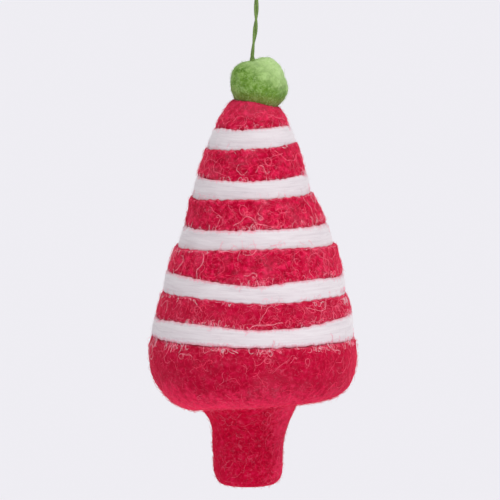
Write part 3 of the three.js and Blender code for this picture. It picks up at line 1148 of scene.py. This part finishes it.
def fuzz(name, piece, count, length, radius, materials, seed, allowed=None):
    """Short fibres that stand a little off the felt and curl."""
    roots, out = scattered(piece, count, seed, allowed)
    rng = np.random.default_rng(seed + 1)
    flat = unit(np.cross(out, rng.normal(0, 1, (count, 3))))
    curl = np.cross(out, flat)
    share = np.linspace(0, 1, FUZZ_POINTS)[None, :, None]
    long = length * rng.uniform(*FUZZ_LENGTHS, (count, 1, 1))
    bend = rng.normal(0, FUZZ_BEND, (count, 1, 1))
    rise = rng.uniform(*FUZZ_RISES, (count, 1, 1))
    aside = FUZZ_LEAN * share * flat[:, None] + bend * share**2 * curl[:, None]
    upward = rise * (share - FUZZ_DROOP * share**2) * out[:, None]
    paths = roots[:, None] + long * (aside + upward) - FUZZ_SINK * out[:, None]
    return strands(name, paths, radius * rng.uniform(*FUZZ_THICKNESSES, count), materials, seed + 2)


def surface_of(felt_pieces, ring_pieces):
    """A search tree of the pieces' faces, in millimetres, and which faces are a ring's."""
    corners, faces, on_ring = [], [], []
    for piece in [*felt_pieces, *ring_pieces]:
        start = len(corners)
        corners += [v.co / MM for v in piece.data.vertices]
        faces += [[start + i for i in p.vertices] for p in piece.data.polygons]
        on_ring += [piece in ring_pieces] * len(piece.data.polygons)
    return BVHTree.FromPolygons(corners, faces), on_ring


# How a long fibre follows the surface, keeps and changes its bend, varies its stride, and rises and sinks
HOVER = 0.8
FOLLOWING = 0.4
BEND_KEPT = 0.85
BEND_NEW = 0.45
STRIDES = (0.5, 1.2)
LEAST_RISE = 0.05
RISE_STEP = 0.35
RISE_STARTS = 6


class Curl(NamedTuple):
    """How a kind of fibre curls: its steps, their length, how much it turns and how high it rises."""

    steps: int
    step: float
    turn: float
    lift: float


def first_heading(out, way, rng):
    """A way along the surface: the given one, or any."""
    if way is None:
        return out.cross(Vector(rng.normal(0, 1, 3))).normalized()
    return out.cross(Vector(way)).cross(out).normalized()


def curl_path(surface, root, way, curl, rng):
    """Path of a long fibre that wanders over a surface, and how much of it lies on the rings."""
    faces, on_ring = surface
    place, out, _, _ = faces.find_nearest(Vector(root))
    heading = first_heading(out, way, rng)
    bend = rng.normal(0, curl.turn)
    high = abs(rng.normal(0, curl.lift))
    stride = curl.step * rng.uniform(*STRIDES)
    phase = rng.uniform(0, RISE_STARTS)
    path, ring_steps = [], 0
    for k in range(curl.steps):
        place, new_out, face, _ = faces.find_nearest(place + heading * stride + out * HOVER)
        ring_steps += on_ring[face]
        out = ((1 - FOLLOWING) * out + FOLLOWING * new_out).normalized()
        heading = (heading - out * heading.dot(out)).normalized()
        bend = BEND_KEPT * bend + rng.normal(0, BEND_NEW * curl.turn)
        heading.rotate(Quaternion(out, bend))
        swell = 0.5 + 0.5 * math.sin(phase + RISE_STEP * k)
        rise = LEAST_RISE + high * swell * math.sin(math.pi * k / (curl.steps - 1))
        path.append(place + out * rise)
    return path, ring_steps / curl.steps


def curls(surface, roots, curl, seed, ways=None):
    """Paths of long fibres from their roots, and how much of each lies on the rings."""
    rng = np.random.default_rng(seed)
    ways = [None] * len(roots) if ways is None else ways
    paths, ring_shares = zip(*(curl_path(surface, root, way, curl, rng) for root, way in zip(roots, ways)))
    return np.array(paths), np.array(ring_shares)


# How the strands of a lock part: how many half waves, and where in a wave they start
LOCK_WAVES = (0.8, 2.0)
LOCK_STARTS = 3


def locks(paths, each, spread, seed):
    """Each path as a lock of several strands, which part and meet."""
    rng = np.random.default_rng(seed)
    share = np.linspace(0, 1, paths.shape[1])
    parted = []
    for _ in range(each):
        way = rng.normal(0, spread, (len(paths), 1, 3))
        waves = rng.uniform(*LOCK_WAVES, (len(paths), 1))
        start = rng.uniform(0, LOCK_STARTS, (len(paths), 1))
        parted.append(paths + way * np.sin(math.pi * share * waves + start)[..., None])
    return np.concatenate(parted)


# How far off a ring's edge fibres root at least, and how far over the surface roots are sought
ROOT_MARGIN = 0.3
BAND_ROOT_HOVER = 1
EDGE_ROOT_HOVER = 0.5

# How strongly and how often fibres gather in tufts along an edge, and how far aside they go
TUFT_STRENGTH = 1.3
TUFT_COUNTS = (3, 16)
EDGE_STRAY = 2.4


def band_roots(rings, count, spread, seed):
    """Random places near the edges of the rings, on the bands under and over each."""
    rng = np.random.default_rng(seed)
    lengths = np.array([bottom[0].mean() for bottom, _ in rings])
    roots = []
    for _ in range(count):
        bottom, top = rings[rng.choice(len(rings), p=lengths / lengths.sum())]
        column = rng.integers(0, COLUMNS)
        below = rng.random() < 0.5
        radius, height = bottom if below else top
        away = abs(rng.normal(0, spread)) + ROOT_MARGIN
        place = height[column] + (-away if below else away)
        roots.append(around(ANGLES[column], radius[column] + BAND_ROOT_HOVER, place))
    return roots


def edge_odds(rings, top_share):
    """How likely a fibre is on each ring's lower and upper edge."""
    shares = (1 - top_share, top_share)
    odds = np.array([[line[0].mean() * reach * share for line, reach, share in zip(ring, fringe, shares)]
                     for ring, fringe in zip(rings, RING_FRINGES)]).ravel()
    return odds / odds.sum()


def tuft_odds(seed):
    """How likely a fibre of an edge is at each angle."""
    tufts = np.exp(wave(ANGLES, seed, TUFT_STRENGTH, TUFT_COUNTS))
    return tufts / tufts.sum()


def edge_roots(rings, count, inset, seed, top_share=0.5):
    """Random places along the rings' upper and lower edges, each with the way from there off the ring."""
    rng = np.random.default_rng(seed)
    odds = edge_odds(rings, top_share)
    roots, ways = [], []
    for _ in range(count):
        number, top = divmod(rng.choice(len(odds), p=odds), 2)
        way = 1 if top else -1
        column = rng.choice(COLUMNS, p=tuft_odds(seed + 10 * number + way))
        angle = ANGLES[column]
        radius, height = rings[number][top]
        place = height[column] - way * inset * rng.random()
        roots.append(around(angle, radius[column] + EDGE_ROOT_HOVER, place))
        aside = rng.normal(0, EDGE_STRAY)
        ways.append((aside * math.cos(angle), aside * math.sin(angle), way))
    return roots, ways


# Most of a curly fibre that may lie on a ring, and from how much on a fibre takes the ring's pale colours
CURLY_RING_MOST = 0.3
CURLY_PALE_FROM = 0.1
EDGE_PALE_FROM = 0.3

CURLY_STRANDS = 4
CURLY_RADII = (0.02, 0.036)
EDGE_STRANDS = 2
FINE_STRANDS = 2


def add_curly_fibres(rings, surface, rng):
    """Long pale locks on the bands."""
    roots = band_roots(rings, count=330, spread=3.2, seed=71)
    paths, ring_shares = curls(surface, roots, Curl(steps=32, step=0.44, turn=0.28, lift=0.22), seed=72)
    kept = ring_shares < CURLY_RING_MOST
    paths = paths[kept]
    chosen = np.where(ring_shares[kept] > CURLY_PALE_FROM, 0, rng.integers(0, 4, len(paths)))
    chosen = np.tile(chosen, CURLY_STRANDS)
    radius = np.tile(rng.uniform(*CURLY_RADII, len(paths)), CURLY_STRANDS)
    paths = locks(paths, CURLY_STRANDS, spread=0.17, seed=87)
    shades = [PALE_FIBRE, BLUSH_FIBRE, BLUSH_FIBRE, ROSE_FIBRE]
    curly = strands("curly_fibres", paths, radius, shades, seed=73, chosen=chosen)


def add_short_fibres(rings, surface):
    """Short rosy fibres on the bands."""
    roots = band_roots(rings, count=1800, spread=3.5, seed=74)
    paths, ring_shares = curls(surface, roots, Curl(steps=10, step=0.4, turn=0.4, lift=0.2), seed=75)
    shades = [BLUSH_FIBRE, ROSE_FIBRE, ROSE_FIBRE]
    strands("short_fibres", paths[ring_shares == 0], 0.03, shades, seed=76)


def add_edge_fibres(rings, surface, rng):
    """Tufts that stray from the rings' edges over the felt, paler under a ring and on one."""
    roots, ways = edge_roots(rings, count=2000, inset=0.25, seed=77)
    paths, ring_shares = curls(surface, roots, Curl(steps=10, step=0.3, turn=0.6, lift=0.18), 78, ways)
    count = len(paths)
    hanging = np.array(ways)[:, 2] < 0
    on_felt = np.where(hanging, rng.integers(0, 3, count), rng.integers(1, 4, count))
    chosen = np.where(ring_shares > EDGE_PALE_FROM, rng.integers(0, 2, count), on_felt)
    chosen = np.tile(chosen, EDGE_STRANDS)
    paths = locks(paths, EDGE_STRANDS, spread=0.08, seed=88)
    shades = [WHITE_FIBRE, PALE_FIBRE, BLUSH_FIBRE, BLUSH_FIBRE]
    edging = strands("edge_fibres", paths, 0.034, shades, seed=79, chosen=chosen)


def add_band_fibres(rings, surface):
    """Short pale fibres of the bands that reach for the rings, mostly down from above."""
    roots, ways = edge_roots(rings, count=1400, inset=-0.5, seed=80, top_share=0.85)
    back = [tuple(-x for x in way) for way in ways]
    paths, _ = curls(surface, roots, Curl(steps=7, step=0.2, turn=0.3, lift=0.15), 81, back)
    shades = [WHITE_FIBRE, PALE_FIBRE, PALE_FIBRE]
    strands("band_fibres", paths, 0.026, shades, seed=82)


def add_fine_fibres(surface, tree, tree_faces, trunk, trunk_faces):
    """Fine rosy locks all over the felt."""
    tree_roots, _ = scattered(tree, 300, 83, tree_faces)
    trunk_roots, _ = scattered(trunk, 170, 84, trunk_faces)
    curl = Curl(steps=18, step=0.42, turn=0.28, lift=0.25)
    paths, ring_shares = curls(surface, [*tree_roots, *trunk_roots], curl, seed=85)
    paths = locks(paths[ring_shares == 0], FINE_STRANDS, spread=0.08, seed=89)
    strands("fine_fibres", paths, 0.028, [BLUSH_FIBRE, ROSE_FIBRE], seed=86)


# Heights under which the tree's felt is the base's, and is the base's lower rim
BASE_TOP = -145
RIM_FUZZ_TOP = -163


def low_faces(piece, height):
    """Which of a piece's faces lie below a height."""
    middles = np.zeros(3 * len(piece.data.polygons))
    piece.data.polygons.foreach_get("center", middles)
    return middles.reshape(-1, 3)[:, 2] / MM < height


def add_fuzz(tree, tree_faces, ring_pieces, ball, trunk, trunk_faces):
    """Short fibres all over the felt and the rings."""
    rosy = [ROSE_FIBRE, ROSE_FIBRE, BLUSH_FIBRE]
    reddish = [RED_FIBRE, ROSE_FIBRE, ROSE_FIBRE]
    on_base = low_faces(tree, BASE_TOP)
    bands, base = tree_faces & ~on_base, tree_faces & on_base
    rim = tree_faces & low_faces(tree, RIM_FUZZ_TOP)
    fuzz("band_fuzz", tree, 4800, 1.3, 0.03, rosy, seed=91, allowed=bands)
    fuzz("base_fuzz", tree, 3200, 1.3, 0.03, reddish, seed=115, allowed=base)
    fuzz("trunk_fuzz", trunk, 2400, 1.2, 0.03, reddish, seed=94, allowed=trunk_faces)
    fuzz("rim_fuzz", tree, 2600, 1.2, 0.03, rosy, seed=113, allowed=rim)
    fuzz("ball_fuzz", ball, 1800, 1.0, 0.028, [LEAF_FIBRE, LIME_FIBRE], seed=97)
    for number, ring in enumerate(ring_pieces):
        hair = fuzz(f"ring_fuzz_{number + 1}", ring, 600, 1.4, 0.024, [WHITE_FIBRE], seed=101 + 3 * number)


def add_fibres(rings, tree, tree_faces, ring_pieces, ball, trunk, trunk_faces):
    surface = surface_of([tree, trunk], ring_pieces)
    rng = np.random.default_rng(70)
    add_curly_fibres(rings, surface, rng)
    add_short_fibres(rings, surface)
    add_edge_fibres(rings, surface, rng)
    add_band_fibres(rings, surface)
    add_fine_fibres(surface, tree, tree_faces, trunk, trunk_faces)
    add_fuzz(tree, tree_faces, ring_pieces, ball, trunk, trunk_faces)


# Inner parts


def dress_inner_parts():
    """The wool core, the trunk's core, and the cord's knot and tail inside the tree."""
    wool = [("body_core", UNDYED_WOOL), ("trunk_core", UNDYED_WOOL)]
    cord = [("cord_tail", GREEN_CORD), ("anchor_knot", GREEN_CORD)]
    for name, material in wool + cord:
        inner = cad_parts[name].data
        inner.materials.clear()
        inner.materials.append(material)


# Studio

FLOOR_HEIGHT = -300
FLOOR_SIZE = 40000
FLOOR_COLOUR = colour(240, 239, 244)
KEY_WAY = (0.3, -0.42, 0.86)
KEY_STRENGTH = 1.86
KEY_ANGLE = math.radians(40)
FILL_PLACE = (0, -120, -285)
FILL_AIM = (0, 0, -165)
FILL_SIZE = 200
FILL_SPREAD = math.radians(90)
FILL_POWER = 0.032
SKY_COLOUR = (1, 0.99, 1, 1)
SKY_STRENGTH = 0.48
BACKDROP_COLOUR = colour(238, 237, 242)


def add_floor():
    half = FLOOR_SIZE / 2
    sides = [(-half, -half), (half, -half), (half, half), (-half, half)]
    corners = [(x, y, FLOOR_HEIGHT) for x, y in sides]
    material, tree, shader = new_material("floor")
    connect(tree, shader, {"Base Color": FLOOR_COLOUR, "Roughness": 1.0, "Specular IOR Level": 0.0})
    made("floor", corners, [(0, 1, 2, 3)], material)


def add_lamp(name, kind, way):
    """A lamp whose light comes from a way."""
    lamp = linked(name, bpy.data.lights.new(name, kind))
    lamp.rotation_euler = Vector(way).to_track_quat("Z", "Y").to_euler()
    return lamp


def add_lamps():
    """A broad light from above, and a weak one from below that the camera doesn't see."""
    key = add_lamp("key", "SUN", KEY_WAY)
    key.data.energy = KEY_STRENGTH
    key.data.angle = KEY_ANGLE
    fill = add_lamp("fill", "AREA", Vector(FILL_PLACE) - Vector(FILL_AIM))
    fill.location = Vector(FILL_PLACE) * MM
    fill.data.size = FILL_SIZE * MM
    fill.data.spread = FILL_SPREAD
    fill.data.energy = FILL_POWER
    fill.visible_camera = False


def add_world():
    """Plain light from all round. Seen directly, or in metal or glass, it is a pale backdrop."""
    world = bpy.data.worlds.new("studio")
    world.use_nodes = True
    bpy.context.scene.world = world
    tree = world.node_tree
    path = node(tree, "ShaderNodeLightPath").outputs
    mirrored = math_node(tree, "MAXIMUM", path["Is Glossy Ray"], path["Is Transmission Ray"])
    direct = math_node(tree, "MAXIMUM", path["Is Camera Ray"], mirrored)
    light = tree.nodes["Background"]
    connect(tree, light, {"Color": SKY_COLOUR, "Strength": SKY_STRENGTH})
    seen = node(tree, "ShaderNodeBackground", {"Color": BACKDROP_COLOUR, "Strength": 1.0})
    sockets = {0: direct, 1: light.outputs["Background"], 2: seen.outputs["Background"]}
    mixed = node(tree, "ShaderNodeMixShader", sockets)
    connect(tree, tree.nodes["World Output"], {"Surface": mixed.outputs["Shader"]})


def add_studio():
    add_floor()
    add_lamps()
    add_world()
    bpy.context.scene.view_settings.view_transform = "Standard"


add_camera()
add_cord()
rings = [(edge(number, False), edge(number, True)) for number in range(len(EDGE_LIFTS))]
tree, tree_faces = add_tree(rings)
ring_pieces = add_rings(rings)
ball = add_ball()
trunk, trunk_faces = add_trunk()
add_fibres(rings, tree, tree_faces, ring_pieces, ball, trunk, trunk_faces)
dress_inner_parts()
add_studio()
